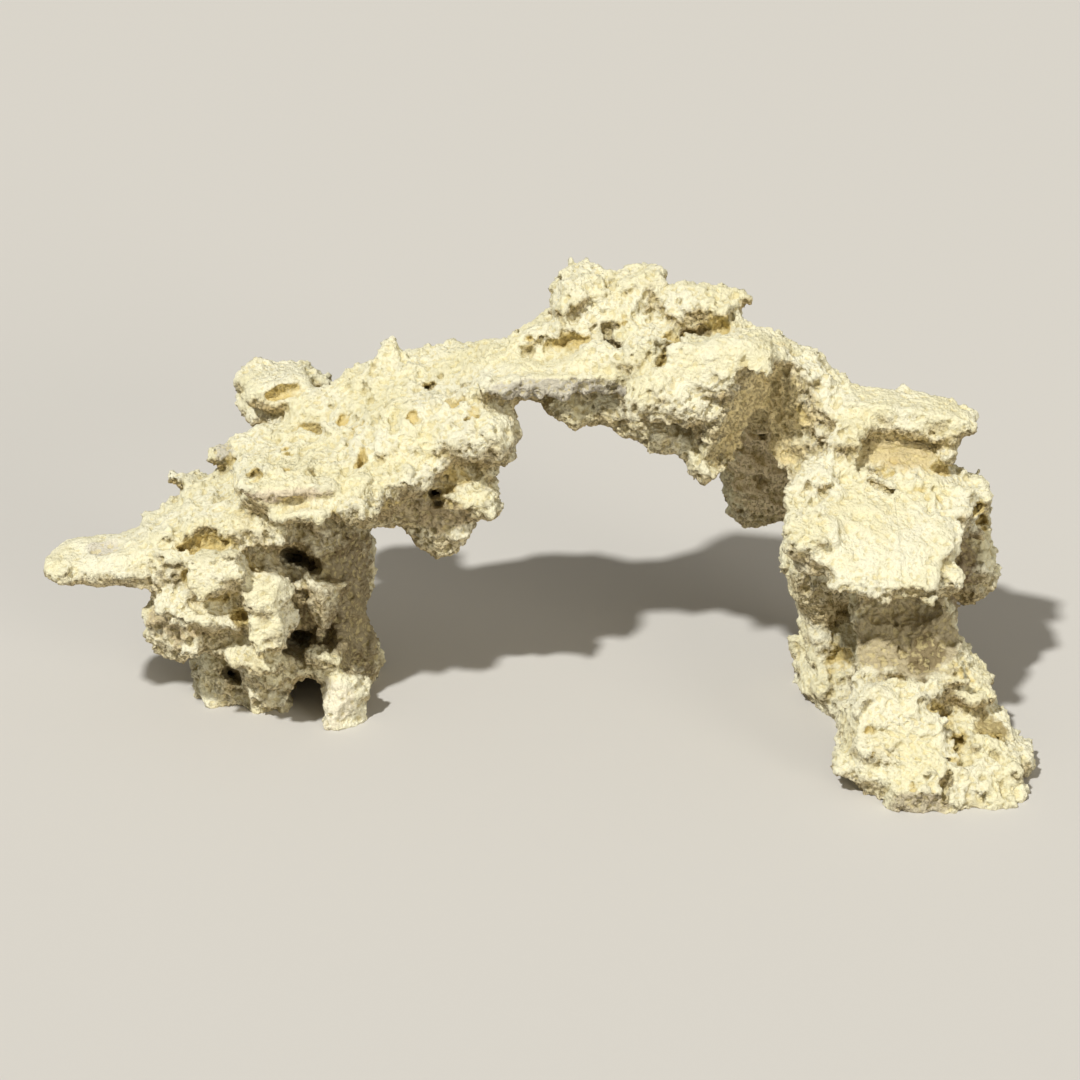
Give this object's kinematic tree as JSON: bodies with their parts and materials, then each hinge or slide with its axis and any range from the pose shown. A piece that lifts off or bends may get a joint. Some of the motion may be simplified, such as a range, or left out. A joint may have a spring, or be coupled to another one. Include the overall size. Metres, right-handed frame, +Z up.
{
  "type": "dry reef rock arch",
  "caption": "Weathered cream reef limestone arch on two knobbly legs, with ledges, bores and caves; stands on a tank floor or shelf as aquascape rock.",
  "frame": {"origin": "middle of the bounding box, on the surface that the feet stand on", "axes": "+X along the arch from the pointed tongue to the right foot, +Y from the side the picture shows to the back, +Z up"},
  "size_m": [0.44, 0.2052, 0.1933],
  "materials": {
    "reef_rock": "dry, chalky and matt, granular on top and porous below"
  },
  "bodies": {
    "root": {"reef_rock": "reef_rock"}
  },
  "joints": []
}
